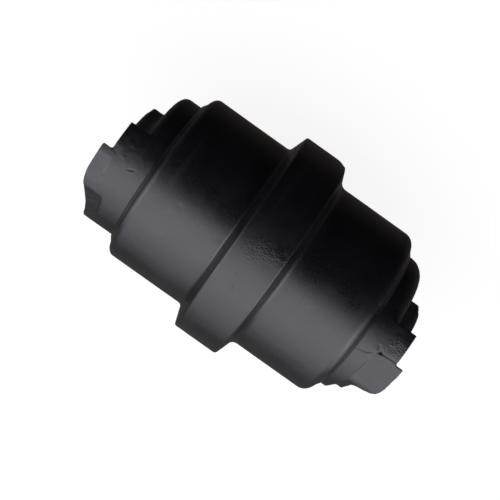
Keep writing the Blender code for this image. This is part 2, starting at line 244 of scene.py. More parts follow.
def bake(item):
    """Turn an object's modifiers into its mesh."""
    graph = bpy.context.evaluated_depsgraph_get()
    mesh = bpy.data.meshes.new_from_object(item.evaluated_get(graph))
    item.modifiers.clear()
    item.data = mesh


def cut_away(item, cutters):
    """Subtract each cutter in turn and remove it."""
    for cutter in cutters:
        modifier = item.modifiers.new(cutter.name, 'BOOLEAN')
        modifier.operation = 'DIFFERENCE'
        modifier.solver = 'EXACT'
        modifier.object = cutter
        bake(item)
        bpy.data.objects.remove(cutter, do_unlink=True)


def remesh(item, voxel):
    """Give an object an even mesh with cells of this many millimetres."""
    modifier = item.modifiers.new("remesh", 'REMESH')
    modifier.mode = 'VOXEL'
    modifier.voxel_size = voxel * MM
    bake(item)


def soften(item, rounds):
    """Smooth an even mesh, which rounds every edge by about a cell or two, as on a casting."""
    modifier = item.modifiers.new("smooth", 'SMOOTH')
    modifier.factor = 0.5
    modifier.iterations = rounds
    bake(item)
    item.data.shade_smooth()


def push_out(item, offset):
    """Move each vertex along its normal by offset(point, radius, degrees) in millimetres."""
    mesh = item.data
    moves = []
    for vertex in mesh.vertices:
        point = vertex.co / MM
        radius = math.hypot(point.y, point.z)
        degrees = math.degrees(math.atan2(-point.y, point.z))
        moves.append(offset(point, radius, degrees) * MM)
    normals = [vertex.normal.copy() for vertex in mesh.vertices]
    for vertex, normal, move in zip(mesh.vertices, normals, moves):
        vertex.co += normal * move
    mesh.update()


def wave(point, size):
    """Smooth noise between about -1 and 1, with lumps of the given size."""
    return noise.noise(point / size)


def blend_in(value, low, high):
    """0 below low, 1 above high, smooth between."""
    share = min(1.0, max(0.0, (value - low) / (high - low)))
    return share * share * (3.0 - 2.0 * share)


def spot(x, degrees, radius, mark):
    """How deep a mark is at a place."""
    centre_x, centre_degrees, long, wide, lean, depth = mark
    along = x - centre_x
    round_it = math.radians(degrees - centre_degrees) * radius
    limit = MARK_REACH * (long + wide)
    if abs(along) > limit or abs(round_it) > limit:
        return 0.0
    turn = math.radians(lean)
    u = (along * math.cos(turn) + round_it * math.sin(turn)) / long
    v = (round_it * math.cos(turn) - along * math.sin(turn)) / wide
    return depth * math.exp(-u * u - v * v)


def groove(x, degrees, radius, path, width, depth):
    """Depth of a line scored through (station, degrees) points."""
    best = math.inf
    here = Vector((x, math.radians(degrees) * radius))
    for (x0, d0), (x1, d1) in zip(path, path[1:]):
        start = Vector((x0, math.radians(d0) * radius))
        run = Vector((x1, math.radians(d1) * radius)) - start
        share = min(1.0, max(0.0, (here - start).dot(run) / run.length_squared))
        best = min(best, (here - start - run * share).length)
    return depth * math.exp(-(best / width) ** 2)


# ---------------------------------------------------------------- roller shell

SHELL_SEGMENTS = 384
SHELL_CELL = 1.15               # longest face along the outside of the section

# Pits and knocks: station, degrees, half length, half width, lean in degrees and depth. A negative depth
# stands proud. The last one is the battered stretch of the flange's right edge.
SHELL_MARKS = (
    (-2.7, -3.1, 1.5, 0.8, 30.0, 0.45),
    (-0.9, -1.0, 1.1, 0.7, -20.0, 0.40),
    (-3.4, 1.6, 0.8, 0.6, 0.0, 0.25),
    (1.6, -6.5, 0.7, 0.6, 0.0, 0.22),
    (-4.5, -9.0, 0.9, 0.6, 60.0, 0.20),
    (12.7, -27.3, 1.3, 1.0, 80.0, 0.45),
    (7.5, -26.4, 1.6, 1.0, 15.0, -0.18),
    (4.8, -24.0, 1.2, 0.8, 60.0, -0.14),
    (-3.6, -72.6, 2.2, 1.2, 30.0, 0.22),
    (-25.6, -12.9, 1.8, 0.6, 70.0, 0.22),
    (-53.4, -16.4, 2.5, 1.6, 20.0, 0.10),
    (-36.4, 1.1, 2.0, 1.4, 40.0, 0.08),
    (-68.1, -31.1, 1.6, 0.9, 30.0, 0.16),
    (37.7, -36.8, 1.8, 1.2, 0.0, 0.18),
    (76.1, -36.8, 1.5, 0.7, 20.0, 0.35),
    (61.0, 14.0, 1.5, 1.0, 50.0, 0.08),
    (15.2, -110.0, 3.6, 26.0, 0.0, 1.5),
)


def shell_outline(crest_half, root_r, end_along):
    """Right half of the section: crest, flank, root, tread and end, then the bores back to the middle."""
    crest = arc(crest_half - CREST_CORNER_R, FLANGE_R - CREST_CORNER_R, CREST_CORNER_R, 90.0, FLANGE_DRAFT, 7)
    last_x, last_r = crest[-1]
    draft = math.radians(FLANGE_DRAFT)
    foot_r = TREAD_R + root_r - root_r * math.sin(draft)
    foot_x = last_x + (last_r - foot_r) * math.tan(draft)
    root_x = foot_x + root_r * math.cos(draft)
    root = arc(root_x, TREAD_R + root_r, root_r, 180.0 + FLANGE_DRAFT, 270.0, 6)
    end_x = SHELL_HALF - TREAD_END_FALL - end_along
    end_r = TREAD_R - TREAD_END_R
    end = [(end_x + end_along * x, end_r + TREAD_END_R * r) for x, r in arc(0.0, 0.0, 1.0, 90.0, 12.0, 11)]
    mouth = arc(SHELL_HALF - MOUTH_R, COUNTERBORE_R + MOUTH_R, MOUTH_R, 20.0, -90.0, 4)
    outside = spread([(0.0, FLANGE_R)] + crest + root + end + mouth, SHELL_CELL)
    counterbore_floor = SHELL_HALF - COUNTERBORE_DEPTH
    inside = [
        (counterbore_floor, COUNTERBORE_R),
        (counterbore_floor, SEAL_HOUSING_R),
        (HOUSING_FLOOR, SEAL_HOUSING_R),
        (HOUSING_FLOOR, BUSH_FLANGE_R + SEAT_GAP),
        (BUSH_SEAT, BUSH_FLANGE_R + SEAT_GAP),
        (BUSH_SEAT, BUSH_R + SEAT_GAP),
        (RESERVOIR_HALF, BUSH_R + SEAT_GAP),
        (RESERVOIR_HALF, RESERVOIR_R),
    ]
    return outside + inside


def shell_relief(point, radius, degrees):
    """Forged and turned skin under paint: slight waviness, pits and knocks; the bores stay true."""
    if abs(point.x) < SHELL_HALF - 0.4 and radius < COUNTERBORE_R + 1.0:
        return 0.0
    height = 0.045 * wave(point, 22.0) + 0.018 * wave(point, 6.0)
    for mark in SHELL_MARKS:
        height -= spot(point.x, degrees, radius, mark)
    return height


def build_shell():
    """The turning body, with its crest, flange root and tread end a little different on its two sides."""
    right = shell_outline(crest_half=16.3, root_r=5.0, end_along=7.0)
    left = shell_outline(crest_half=15.9, root_r=2.6, end_along=5.4)
    outline = right[1:] + mirrored_end(-1.0, reversed(left[1:])) + [right[0]]
    shell = turned("shell_body", outline, SHELL_SEGMENTS, sharp=30.0)
    push_out(shell, shell_relief)
    return shell


# ---------------------------------------------------------------- end collars

COLLAR_VOXEL = 0.66
CLEAR_R = COLLAR_R + 8.0        # outside everything that a cutter has to take off
PAST_LUG = 6.0                  # the same, beyond the end of the lug
HUB_CLEARANCE = 0.05
UNDERCUT = (-0.1, 3.2)          # the lug's leaning side face, in degrees past its start

# What differs between the collars.
# hub_r, boss_r: the hub, and the smaller ring at its end, 0 for none.
# lug_end, lug_late: station where the lug ends, and how many degrees late it starts.
# root: round between the step and the hub.
# corner: how far the step's edge is rounded along and across the axis, at degrees about the axis.
# raised: station where the raised end stops, at degrees past the lug's end.
# flats: degrees past the lug's middle, distance from the axis, station where the flat starts, how that
#   changes across it, and how steep the wall there is.
# marks: as on the shell. grooves: a path of station and degrees, then width and depth.
COLLARS = {
    "left": {
        "hub_r": 31.8,
        "boss_r": 28.6,
        "lug_end": 112.7,
        "lug_late": 0.0,
        "root": 4.5,
        "corner": ((-180.0, 5.6, 7.8), (180.0, 5.6, 7.8)),
        "raised": ((-14.0, 112.8), (-6.0, 111.8), (0.2, 110.6), (1.0, 109.7), (10.0, 106.9), (20.0, 104.3),
                   (30.0, 103.0), (TOE_ANGLE, 102.8)),
        "flats": ((0.0, 48.5, 103.0, -0.10, 3.0), (36.0, 46.9, 94.6, -0.08, 6.0)),
        "marks": ((90.1, -15.3, 1.9, 0.6, 25.0, 0.26), (89.4, -14.7, 1.4, 0.5, 25.0, -0.2)),
        "grooves": (),
    },
    "right": {
        "hub_r": 27.2,
        "boss_r": 0.0,
        "lug_end": 111.9,
        "lug_late": 2.4,
        "root": 2.5,
        "corner": ((-180.0, 3.4, 3.4), (-150.0, 12.0, 12.0), (-45.0, 12.0, 12.0), (-30.0, 3.4, 3.4),
                   (30.0, 1.2, 1.2), (120.0, 1.2, 1.2), (150.0, 3.4, 3.4), (180.0, 3.4, 3.4)),
        "raised": ((-34.0, 112.1), (-10.0, 110.9), (-5.0, 109.9), (-2.0, 108.6), (-0.4, 106.4),
                   (1.0, 103.2), (2.6, 99.8), (5.0, 96.6), (8.0, 94.9)),
        "flats": ((0.0, 47.9, 90.9, -0.01, 2.0), (46.5, 43.4, 91.0, 0.0, 1.0),
                  (75.0, 43.0, 91.0, 0.0, 1.0)),
        "marks": ((94.6, -12.6, 1.4, 0.9, 0.0, 0.5),),
        "grooves": (
            (((80.0, -4.8), (84.5, -6.7), (87.0, -7.2), (90.4, -9.7), (94.6, -12.3)), 0.5, 0.4),
            (((94.6, -12.3), (92.8, -14.0), (91.4, -16.2)), 0.6, 0.45),
            (((94.6, -12.6), (100.0, -12.9), (106.0, -13.2)), 0.5, 0.35),
            (((92.3, -9.0), (91.7, 3.0), (90.4, 17.0)), 0.7, 0.28),
        ),
    },
}


def collar_outline(design):
    """Full turn of the collar before anything is cut from its outer end."""
    bore = SHAFT_R + SEAT_GAP
    outline = [
        (NOSE_FACE, bore),
        (NOSE_FACE, NOSE_R),
        (COLLAR_HOUSING_FLOOR, NOSE_R),
        (COLLAR_HOUSING_FLOOR, SEAL_HOUSING_R),
        (COLLAR_INNER_FACE, SEAL_HOUSING_R),
        (COLLAR_INNER_FACE, COLLAR_R),
        (design["lug_end"], COLLAR_R),
        (design["lug_end"], LUG_INNER_R),
        (EAR_END, LUG_INNER_R),
        (EAR_END, design["hub_r"]),
        (HUB_END, design["hub_r"]),
    ]
    if design["boss_r"]:
        outline += [(HUB_END, design["boss_r"]), (EAR_END, design["boss_r"]), (EAR_END, bore)]
    else:
        outline.append((HUB_END, bore))
    return outline


def between(stops, degrees):
    """The values at an angle, from rows of degrees and values."""
    for (start, *low), (end, *high) in zip(stops, stops[1:]):
        if degrees <= end:
            share = max(0.0, (degrees - start) / (end - start))
            return [a + (b - a) * share for a, b in zip(low, high)]
    return stops[-1][1:]


def cut_back_section(design, sign):
    """What is taken off beyond the step: hub root rounded inside, step corner rounded outside."""
    root, beyond = design["root"], design["lug_end"] + PAST_LUG

    def section_at(degrees):
        along, across = between(design["corner"], (degrees + 180.0) % 360.0 - 180.0)
        section = [(beyond, design["hub_r"])]
        section += arc(STEP_PLANE + root, design["hub_r"] + root, root, 270.0, 180.0, 5)
        for x, r in arc(0.0, 0.0, 1.0, 0.0, 88.0, 8):
            section.append((STEP_PLANE - along + along * x, COLLAR_R - across + across * r))
        section += [(STEP_PLANE - along, CLEAR_R), (beyond, CLEAR_R)]
        return mirrored_end(sign, section)

    return section_at


def beyond_section(design, sign, end, top=CLEAR_R):
    """What is taken off beyond a station, from the hub out to the top."""
    beyond, inner = design["lug_end"] + PAST_LUG, design["hub_r"] + HUB_CLEARANCE
    return mirrored_end(sign, [(end, inner), (end, top), (beyond, top), (beyond, inner)])


def press_flats(item, design, clock):
    """Move what stands beyond each flat back onto it, and onto the wall it starts from."""
    flats = []
    for past_lug, distance, start, skew, steepness in design["flats"]:
        outward = on_axis(0.0, 1.0, clock + past_lug) / MM
        across = on_axis(0.0, 1.0, clock + past_lug + 90.0) / MM
        flats.append((outward, across, distance, start, skew, steepness))
    for vertex in item.data.vertices:
        point = vertex.co / MM
        for outward, across, distance, start, skew, steepness in flats:
            short = max(0.0, start + skew * point.dot(across) - abs(point.x))
            beyond = point.dot(outward) - distance - short * steepness
            if beyond > 0.0:
                point -= outward * beyond
        vertex.co = point * MM


def collar_relief(sign, design):
    """Sand-cast skin on everything that faces out, smooth where the shaft and the seals sit."""
    seed = Vector((31.0 * sign, 7.0, 3.0))

    def relief(point, radius, degrees):
        x = abs(point.x)
        housed = x < COLLAR_HOUSING_FLOOR + 1.0 and radius < COLLAR_R - 1.0
        if housed or radius < SHAFT_R + 1.0:
            return 0.0
        height = 0.06 * wave(point + seed, 7.0) + 0.03 * wave(point + seed, 2.4)
        beyond_step = blend_in(x, STEP_PLANE - 3.0, STEP_PLANE + 2.0)
        height += beyond_step * (0.10 * wave(point - seed, 4.0) + 0.05 * wave(point - seed, 1.7))
        if radius > COLLAR_R - 4.0:
            for mark in design["marks"]:
                height -= spot(x, degrees, radius, mark)
            for path, width, depth in design["grooves"]:
                height -= groove(x, degrees, radius, path, width, depth)
        return height

    return relief


def pin_cutter(name, sign, reach):
    """The clearance round a locking pin, this far each way from the middle of it."""
    x, z = sign * PIN_STATION, -PIN_DROP
    return cylinder(name, (x, -reach, z), (x, reach, z), PIN_R + SEAT_GAP)


def build_collar(side, sign):
    """A turned blank cut back round its lug, ear and toe, then remeshed and smoothed like a casting."""
    design = COLLARS[side]
    clock = sign * COLLAR_CLOCK
    lug_start, lug_end = clock - LUG_HALF_ANGLE + design["lug_late"], clock + LUG_HALF_ANGLE
    ear_start = clock - LUG_HALF_ANGLE - EAR_ANGLE
    raised_stops = [lug_end + past for past, _ in design["raised"]]
    undercut_start, undercut_end = (lug_start + past for past in UNDERCUT)
    toe_end = raised_stops[-1]

    def past_ear(_):
        return beyond_section(design, sign, EAR_END)

    def undercut(degrees):
        share = (degrees - undercut_start) / (undercut_end - undercut_start)
        return beyond_section(design, sign, EAR_END, COLLAR_R - share * (COLLAR_R - LUG_INNER_R))

    def past_raised(degrees):
        return beyond_section(design, sign, between(design["raised"], degrees - lug_end)[0])

    collar = turned(f"end_collar_{side}", mirrored_end(sign, collar_outline(design)), 240)
    cut_away(collar, [
        sector("past_ear", past_ear, (toe_end, lug_start + 360.0)),
        sector("cut_back", cut_back_section(design, sign), (toe_end, ear_start + 360.0)),
        sector("undercut", undercut, (undercut_start, undercut_end)),
        sector("past_raised", past_raised, raised_stops),
        pin_cutter("pin_hole", sign, PIN_HOLE_REACH),
    ])
    remesh(collar, COLLAR_VOXEL)
    press_flats(collar, design, clock)
    soften(collar, 4)
    push_out(collar, collar_relief(sign, design))
    return collar


# ---------------------------------------------------------------- shaft and small parts

SMALL_PART_SHARP = 35.0         # degrees between faces that make a sharp edge


def thread_shape(x, radius, degrees):
    """V thread in the bolt holes, cut outwards from the hole's wall."""
    if radius > BOLT_HOLE_R + 0.01 or abs(x) < SHAFT_HALF - THREAD_LENGTH:
        return radius
    turn = (x / THREAD_PITCH - degrees / 360.0) % 1.0
    fade = blend_in(abs(x), SHAFT_HALF - THREAD_LENGTH, SHAFT_HALF - THREAD_LENGTH + THREAD_PITCH)
    return radius + THREAD_DEPTH * fade * (1.0 - abs(2.0 * turn - 1.0))


def shaft_outline():
    """Outside of the right end, then the holes from right to left, then the left end."""
    floor = SHAFT_R - 2.0 * O_RING_SECTION_R - SEAT_GAP
    half = O_RING_SECTION_R + SEAT_GAP
    right = [
        (O_RING_STATION - half, SHAFT_R),
        (O_RING_STATION - half, floor),
        (O_RING_STATION + half, floor),
        (O_RING_STATION + half, SHAFT_R),
    ]
    right += [(SHAFT_HALF - 1.5, SHAFT_R), (SHAFT_HALF - 0.35, SHAFT_R - 1.15)]
    right += arc(SHAFT_HALF - 0.5, SHAFT_R - 1.6, 0.5, 45.0, 0.0, 3)
    face = [(SHAFT_HALF, 11.5), (SHAFT_HALF - 0.25, 11.2), (SHAFT_HALF - 0.25, BOLT_HOLE_R + 1.9)]
    hole_end = SHAFT_HALF - BOLT_HOLE_DEPTH
    seat_end = -hole_end + PLUG_SEAT_LENGTH
    threads = spread([(SHAFT_HALF - 1.4, BOLT_HOLE_R), (hole_end + 6.0, BOLT_HOLE_R)], THREAD_PITCH / 8.0)
    tip = [(hole_end, BOLT_HOLE_R), (hole_end - DRILL_TIP, 0.0)]
    gallery = [(GALLERY_END, 0.0), (GALLERY_END, GALLERY_R), (seat_end, GALLERY_R)]
    gallery += [(seat_end, PLUG_SEAT_R), (-hole_end, PLUG_SEAT_R)]
    left_hole = mirrored_end(-1.0, reversed([(hole_end, BOLT_HOLE_R)]))
    left_end = mirrored_end(-1.0, reversed(right + face + threads))
    return right + face + threads + tip + gallery + left_hole + left_end


def build_shaft():
    """The axle, with its oil gallery, threaded bolt holes and pin grooves."""
    shaft = turned("axle_shaft", shaft_outline(), 96, thread_shape)
    cutters = [cylinder("oil_hole", (0.0, 0.0, -30.0), (0.0, 0.0, 30.0), OIL_HOLE_R, 32)]
    cutters += [pin_cutter("pin_groove", sign, PIN_GROOVE_REACH) for _, sign in SIDES]
    cut_away(shaft, cutters)
    shaft.data.set_sharp_from_angle(angle=math.radians(SMALL_PART_SHARP))
    return shaft


def rounded(points, radius):
    """Round every corner of a closed outline by the same small radius."""
    result = []
    count = len(points)
    for index, corner in enumerate(points):
        before = Vector(points[index - 1])
        after = Vector(points[(index + 1) % count])
        here = Vector(corner)
        back, ahead = before - here, after - here
        size = min(radius, back.length * 0.45, ahead.length * 0.45)
        start, end = here + back.normalized() * size, here + ahead.normalized() * size
        for step in range(4):
            share = step / 3.0
            curve = start.lerp(here, share).lerp(here.lerp(end, share), share)
            result.append((curve.x, curve.y))
    return result


def build_bush(side, sign):
    """Flanged bush with an oil groove round its bore."""
    bore = SHAFT_R + JOURNAL_GAP
    outline = [
        (BUSH_INNER_END, BUSH_R),
        (BUSH_SEAT + SEAT_GAP, BUSH_R),
        (BUSH_SEAT + SEAT_GAP, BUSH_FLANGE_R),
        (BUSH_OUTER_END, BUSH_FLANGE_R),
        (BUSH_OUTER_END, bore),
    ]
    middle, floor = (BUSH_INNER_END + BUSH_OUTER_END) * 0.5, bore + 0.8
    outline += [(middle + 2.0, bore), (middle + 1.2, floor), (middle - 1.2, floor), (middle - 2.0, bore)]
    outline.append((BUSH_INNER_END, bore))
    return turned(f"flanged_bush_{side}", mirrored_end(sign, rounded(outline, 0.4)), 128)


def build_seal_ring(kind, side, sign, outward):
    """Metal ring with its sealing face at the seal plane and a ramp for its toric behind it."""
    face = SEAL_PLANE + outward * SEAT_GAP * 0.5
    back = SEAL_PLANE + outward * 3.0
    tail = SEAL_PLANE + outward * 9.5
    outline = [(face, SEAL_BORE_R), (face, SEAL_FACE_R), (back, SEAL_FACE_R)]
    outline += [(back, 36.0), (tail, 34.0), (tail, SEAL_BORE_R)]
    return turned(f"face_seal_{kind}_{side}", mirrored_end(sign, rounded(outline, 0.35)), 128)


def build_rubber_ring(name, x, radius, section_r):
    return turned(name, arc(x, radius, section_r, 0.0, 360.0, 20)[:-1], 128)


def build_pin(side, sign):
    """Ground dowel with rounded ends."""
    half = [(PIN_HALF, 0.0), (PIN_HALF, PIN_R - PIN_END_R)]
    half += arc(PIN_HALF - PIN_END_R, PIN_R - PIN_END_R, PIN_END_R, 0.0, 90.0, 5)[1:]
    outline = half + [(-x, r) for x, r in reversed(half)]
    pin = turned(f"locking_pin_{side}", outline, 48)
    pin.data.transform(Matrix.Translation((sign * PIN_STATION * MM, 0.0, -PIN_DROP * MM))
                       @ Matrix.Rotation(math.pi / 2.0, 4, 'Z'))
    return pin


def build_plug():
    """Socket plug and its washer, at the bottom of the left bolt hole."""
    seat = -(SHAFT_HALF - BOLT_HOLE_DEPTH)
    near_side, far_side = seat - SEAT_GAP, seat - SEAT_GAP - 1.0
    outline = [(near_side, PLUG_SEAT_R), (near_side, PLUG_HEAD_R)]
    outline += [(far_side, PLUG_HEAD_R), (far_side, PLUG_SEAT_R)]
    washer = turned("plug_seal_washer", rounded(outline, 0.2), 64)
    under = far_side - SEAT_GAP
    top = under - PLUG_HEAD_HEIGHT
    outline = [(under + 10.0, 0.0), (under + 10.0, PLUG_SHANK_R - 0.5), (under + 9.2, PLUG_SHANK_R)]
    outline += [(under, PLUG_SHANK_R), (under, PLUG_HEAD_R)]
    outline += [(top + 0.6, PLUG_HEAD_R), (top, PLUG_HEAD_R - 0.6), (top, 0.0)]
    plug = turned("socket_plug", outline, 64)
    cut_away(plug, [cylinder("socket", (top - 2.0, 0.0, 0.0), (top + 2.5, 0.0, 0.0), SOCKET_R, 6)])
    plug.data.set_sharp_from_angle(angle=math.radians(SMALL_PART_SHARP))
    return plug, washer


# ---------------------------------------------------------------- materials

# Lumps to a metre: fine spatter, orange peel and coarse skin in the paint
GRAIN = 2400.0
PEEL = 620.0
COARSE = 800.0

PAINT_DARK = (0.0024, 0.0024, 0.0030)
PAINT_PALE = (0.0046, 0.0045, 0.0052)
PAINT_SCUFFED = (0.010, 0.010, 0.011)
PAINT_RUBBED = (0.020, 0.019, 0.019)
PAINT_STAINED = (0.013, 0.007, 0.007)
# Lighter paint colour inside a radius round the axis on the collars: painted light that lifts the shaded hub
HUB_PAINTED_LIGHT = (0.021, 0.020, 0.022)
PAINTED_LIGHT_CORE_R = SEAL_HOUSING_R - 5.0
OIL_STAIN = 0.3                 # how much an oil stain darkens machined metal
ROUND_THE_AXIS = 0.004          # metres for each radian, so that turning lines run right round

PAINT_STARTS = 104.4            # station past which the shaft's end is painted
BARE_R = 9.2                    # round the bolt hole, where it is not

# Coarse skin: station, degrees, radius, reach and depth. Stains: station, degrees, radius and reach.
SHELL_PATCHES = (
    (-4.0, -21.5, FLANGE_R, 12.0, 0.17),
    (4.0, -25.5, FLANGE_R, 10.0, 0.22),
    (14.0, -24.0, FLANGE_R, 8.0, 0.26),
)
COLLAR_PATCHES = ((101.0, -22.0, COLLAR_R, 9.5, 0.55), (94.0, -13.0, COLLAR_R, 7.0, 0.30))
SHELL_STAINS = ((-1.2, -2.0, FLANGE_R, 3.4), (-4.4, -8.0, FLANGE_R, 2.2), (-22.5, -13.5, TREAD_R, 3.0))


def add_node(tree, kind, values=None, **settings):
    """A node with its settings, and its inputs given as values or as sockets to link from."""
    new = tree.nodes.new(kind)
    for key, value in settings.items():
        setattr(new, key, value)
    for key, value in (values or {}).items():
        if isinstance(value, bpy.types.NodeSocket):
            tree.links.new(value, new.inputs[key])
        else:
            new.inputs[key].default_value = value
    return new


def maths(tree, operation, first, second=0.0):
    return add_node(tree, 'ShaderNodeMath', {0: first, 1: second}, operation=operation).outputs[0]


def remap(tree, value, low, high, new_low, new_high):
    """Smoothly map a value from one range to another, kept inside the new one."""
    values = {'Value': value, 'From Min': low, 'From Max': high, 'To Min': new_low, 'To Max': new_high}
    return add_node(tree, 'ShaderNodeMapRange', values, interpolation_type='SMOOTHSTEP').outputs[0]


def lumps(tree, vector, per_metre, detail):
    """Noise with this many lumps to a metre."""
    values = {'Vector': vector, 'Scale': per_metre, 'Detail': detail, 'Roughness': 0.5}
    return add_node(tree, 'ShaderNodeTexNoise', values).outputs['Fac']


def colour_mix(tree, share, first, second):
    new = add_node(tree, 'ShaderNodeMix', data_type='RGBA')
    for index, value in ((0, share), (6, first), (7, second)):
        if isinstance(value, bpy.types.NodeSocket):
            tree.links.new(value, new.inputs[index])
        else:
            new.inputs[index].default_value = (*value, 1.0) if index else value
    return new.outputs[2]


def bump(tree, height, depth_mm, normal=None):
    values = {'Height': height, 'Distance': depth_mm * MM, 'Strength': 1.0}
    if normal:
        values['Normal'] = normal
    return add_node(tree, 'ShaderNodeBump', values).outputs[0]


def start_material(name):
    """A material's node tree with its shader, place on the object, and place along and round the axis."""
    material = bpy.data.materials.new(name)
    material.use_nodes = True
    tree = material.node_tree
    place = add_node(tree, 'ShaderNodeTexCoord').outputs['Object']
    split = add_node(tree, 'ShaderNodeSeparateXYZ', {0: place}).outputs
    turn = maths(tree, 'ARCTAN2', split[1], split[2])
    radius = maths(tree, 'SQRT', maths(tree, 'ADD', maths(tree, 'MULTIPLY', split[1], split[1]),
                                       maths(tree, 'MULTIPLY', split[2], split[2])))
    around = add_node(tree, 'ShaderNodeCombineXYZ', {0: split[0], 1: maths(tree, 'MULTIPLY', turn, ROUND_THE_AXIS),
                                                     2: radius}).outputs[0]
    return material, tree, tree.nodes["Principled BSDF"], place, around, split[0], radius


def finish_material(tree, shader, colour, roughness, normal, metallic=0.0):
    tree.links.new(colour, shader.inputs['Base Color'])
    tree.links.new(roughness, shader.inputs['Roughness'])
    tree.links.new(normal, shader.inputs['Normal'])
    shader.inputs['Metallic'].default_value = metallic
    shader.inputs['Specular IOR Level'].default_value = 0.5


def near(tree, place, x, degrees, radius, reach):
    """1 close to a point on the roller, falling to 0 at its reach."""
    ends = {0: place, 1: on_axis(x, radius, degrees)}
    gap = add_node(tree, 'ShaderNodeVectorMath', ends, operation='DISTANCE').outputs['Value']
    return remap(tree, gap, reach * 0.3 * MM, reach * MM, 1.0, 0.0)


def satin_paint(name, skin_depth, base_roughness, patches, stains, painted_light_r=0.0):
    """Sprayed satin black over metal: orange peel, faint turning lines, dry spray, rubs on the edges.

    Patches are station, degrees, radius, reach and depth of coarse skin; stains are the first four of these.
    Inside the core radius the paint is lighter and rougher; the lighter colour is painted light that lifts the hub
    where it sits in shade.
    """
    material, tree, shader, place, around, _, radius = start_material(name)
    cloud = lumps(tree, place, 45.0, 4.0)
    peel = lumps(tree, place, PEEL, 2.0)
    grain = lumps(tree, place, GRAIN, 2.0)
    lines = lumps(tree, around, 900.0, 2.0)
    scuff = remap(tree, lumps(tree, around, 160.0, 3.0), 0.60, 0.74, 0.0, 1.0)
    edge = add_node(tree, 'ShaderNodeNewGeometry').outputs['Pointiness']
    rub = maths(tree, 'MULTIPLY', remap(tree, edge, 0.52, 0.60, 0.0, 1.0),
                remap(tree, cloud, 0.42, 0.62, 0.1, 1.0))
    colour = colour_mix(tree, cloud, PAINT_DARK, PAINT_PALE)
    colour = colour_mix(tree, maths(tree, 'MULTIPLY', scuff, 0.22), colour, PAINT_SCUFFED)
    colour = colour_mix(tree, maths(tree, 'MULTIPLY', rub, 0.5), colour, PAINT_RUBBED)
    rough = maths(tree, 'ADD', remap(tree, cloud, 0.35, 0.65, base_roughness - 0.04, base_roughness + 0.04),
                  remap(tree, peel, 0.3, 0.7, -0.03, 0.03))
    rough = maths(tree, 'ADD', rough, maths(tree, 'MULTIPLY', scuff, 0.04))
    for stain in stains:
        share = maths(tree, 'MULTIPLY', near(tree, place, *stain), remap(tree, peel, 0.40, 0.55, 0.2, 1.0))
        colour = colour_mix(tree, share, colour, PAINT_STAINED)
        rough = maths(tree, 'ADD', rough, maths(tree, 'MULTIPLY', share, 0.16))
    # Painted light: inside the core radius the colour is lifted to brighten the shaded hub, and the paint is
    # rougher
    painted_light_core = remap(tree, radius, painted_light_r * MM, (painted_light_r + 3.0) * MM, 1.0, 0.0)
    colour = colour_mix(tree, painted_light_core, colour, HUB_PAINTED_LIGHT)
    rough = maths(tree, 'ADD', rough, maths(tree, 'MULTIPLY', painted_light_core, 0.2))
    coarse = 0.0
    for *where, depth in patches:
        coarse = maths(tree, 'ADD', coarse, maths(tree, 'MULTIPLY', near(tree, place, *where), depth))
    normal = bump(tree, lines, 0.010)
    normal = bump(tree, peel, skin_depth, normal)
    normal = bump(tree, grain, skin_depth * 0.2, normal)
    normal = bump(tree, maths(tree, 'MULTIPLY', lumps(tree, place, COARSE, 3.0), coarse), 1.0, normal)
    finish_material(tree, shader, colour, rough, normal)
    return material


def machined(name, dark, light, base_roughness):
    """Turned metal: fine lines round the axis, cloudy oil stain."""
    material, tree, shader, place, around, _, _ = start_material(name)
    lines = lumps(tree, around, 3000.0, 3.0)
    cloud = lumps(tree, place, 120.0, 4.0)
    colour = colour_mix(tree, lines, dark, light)
    shade = tuple(value * (1.0 - OIL_STAIN) for value in dark)
    colour = colour_mix(tree, remap(tree, cloud, 0.5, 0.7, 0.0, 0.8), colour, shade)
    rough = maths(tree, 'ADD', remap(tree, lines, 0.3, 0.7, base_roughness - 0.06, base_roughness + 0.08),
                  remap(tree, cloud, 0.4, 0.7, -0.04, 0.08))
    finish_material(tree, shader, colour, rough, bump(tree, lines, 0.012), metallic=1.0)
    return material


def shaft_finish():
    """Ground steel, painted over with the rest on its end faces but bare and oily in the bolt holes."""
    material, tree, shader, place, around, station, radius = start_material("shaft_finish")
    lines = lumps(tree, around, 3200.0, 3.0)
    cloud = lumps(tree, place, 140.0, 4.0)
    peel = lumps(tree, place, PEEL, 2.0)
    starts, stops = PAINT_STARTS * MM, (PAINT_STARTS + 0.6) * MM
    far = remap(tree, maths(tree, 'ABSOLUTE', station), starts, stops, 0.0, 1.0)
    ragged_radius = maths(tree, 'ADD', radius, maths(tree, 'MULTIPLY', cloud, 1.4 * MM))
    outside_hole = remap(tree, ragged_radius, BARE_R * MM, (BARE_R + 0.6) * MM, 0.0, 1.0)
    painted = maths(tree, 'MULTIPLY', far, outside_hole)
    steel = colour_mix(tree, lines, (0.20, 0.19, 0.18), (0.36, 0.35, 0.33))
    steel = colour_mix(tree, remap(tree, cloud, 0.45, 0.7, 0.0, 0.7), steel, (0.09, 0.075, 0.06))
    paint = colour_mix(tree, cloud, (0.0065, 0.0065, 0.0078), (0.011, 0.0108, 0.0122))
    colour = colour_mix(tree, painted, steel, paint)
    rough = maths(tree, 'ADD', remap(tree, painted, 0.0, 1.0, 0.30, 0.40),
                  remap(tree, cloud, 0.3, 0.7, -0.04, 0.06))
    normal = bump(tree, peel, 0.02, bump(tree, lines, 0.012))
    finish_material(tree, shader, colour, rough, normal)
    tree.links.new(maths(tree, 'SUBTRACT', 1.0, painted), shader.inputs['Metallic'])
    return material


def rubber(name):
    """Moulded nitrile with a matte bloom."""
    material, tree, shader, place, _, _, _ = start_material(name)
    bloom = lumps(tree, place, 260.0, 4.0)
    grain = lumps(tree, place, 2600.0, 2.0)
    colour = colour_mix(tree, bloom, (0.012, 0.012, 0.012), (0.030, 0.029, 0.028))
    rough = remap(tree, bloom, 0.3, 0.7, 0.58, 0.78)
    finish_material(tree, shader, colour, rough, bump(tree, grain, 0.02))
    return material


# ---------------------------------------------------------------- pieces on their bodies

